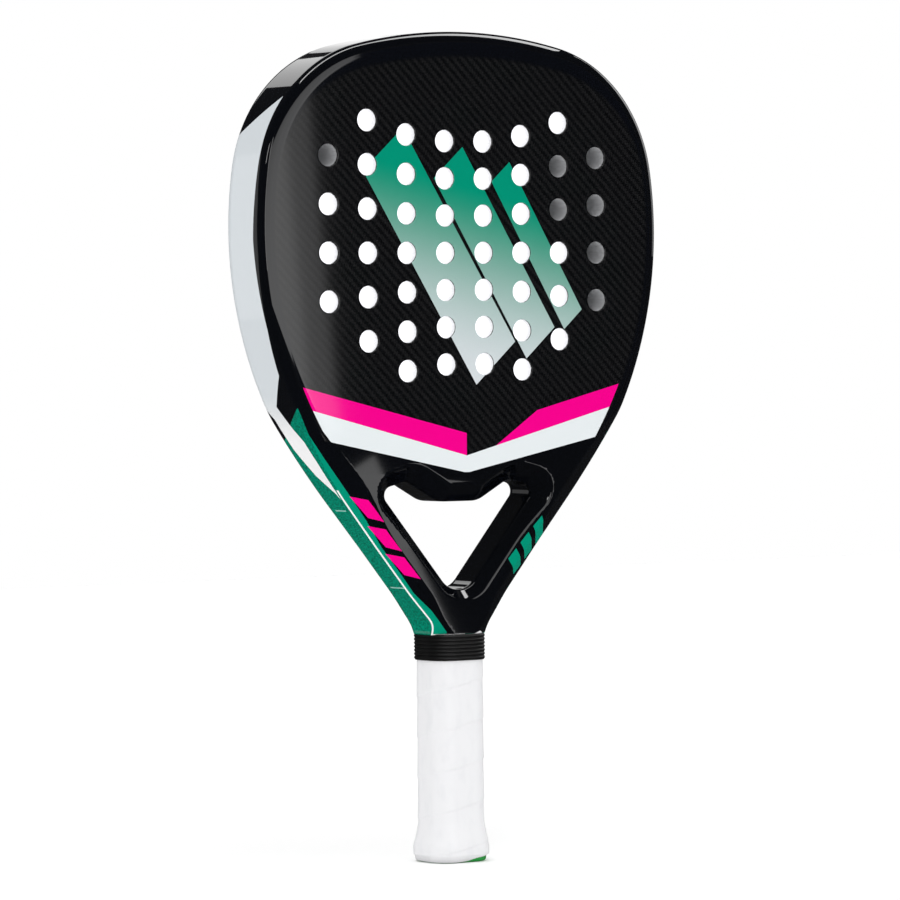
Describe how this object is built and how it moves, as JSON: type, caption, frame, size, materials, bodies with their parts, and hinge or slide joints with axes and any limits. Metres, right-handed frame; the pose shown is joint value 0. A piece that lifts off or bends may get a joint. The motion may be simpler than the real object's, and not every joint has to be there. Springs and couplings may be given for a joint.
{
  "type": "padel racket",
  "caption": "Rounded padel racket with a perforated foam-cored carbon head, an open throat with a bridge, and a wrapped handle with a ribbed collar.",
  "frame": {"origin": "centre of the butt's lowest face, where the racket would stand on its butt", "axes": "+Z along the handle to the top of the head, +X across the head, +Y through it to the rear face; the pictured face looks along -Y"},
  "size_m": [0.2612, 0.038, 0.455],
  "materials": {
    "frame_gloss": "clear-coated carbon composite, black with green and silver-white bands on one side",
    "face_weave": "clear-coated twill carbon, black with a pink and white stripe and a green to silver figure",
    "core_foam": "white EVA foam, fine closed cells",
    "handle_foam": "moulded foam, matt",
    "cap_plastic": "green moulded plastic, satin",
    "plate_plastic": "black moulded plastic, satin",
    "bush_rubber": "black rubber, matt",
    "staple_steel": "bright steel wire",
    "base_wrap": "black polyurethane wrap",
    "over_wrap": "white polyurethane overgrip, satin with fine pores",
    "tape_film": "thin black tape",
    "collar_rubber": "black rubber with fine ribs, satin"
  },
  "bodies": {
    "root": {"frame_tube": "frame_gloss", "throat_bridge": "frame_gloss", "bridge_foam": "handle_foam", "eva_core": "core_foam", "face_skin_front": "face_weave", "face_skin_rear": "face_weave", "handle_core": "handle_foam", "handle_half_front": "handle_foam", "handle_half_rear": "handle_foam", "tube_end_plugs": "handle_foam", "butt_cap": "cap_plastic", "butt_plate": "plate_plastic", "cord_bush": "bush_rubber", "cap_staples": "staple_steel", "base_grip": "base_wrap", "over_grip": "over_wrap", "finishing_tape": "tape_film", "grip_collar": "collar_rubber"}
  },
  "joints": []
}
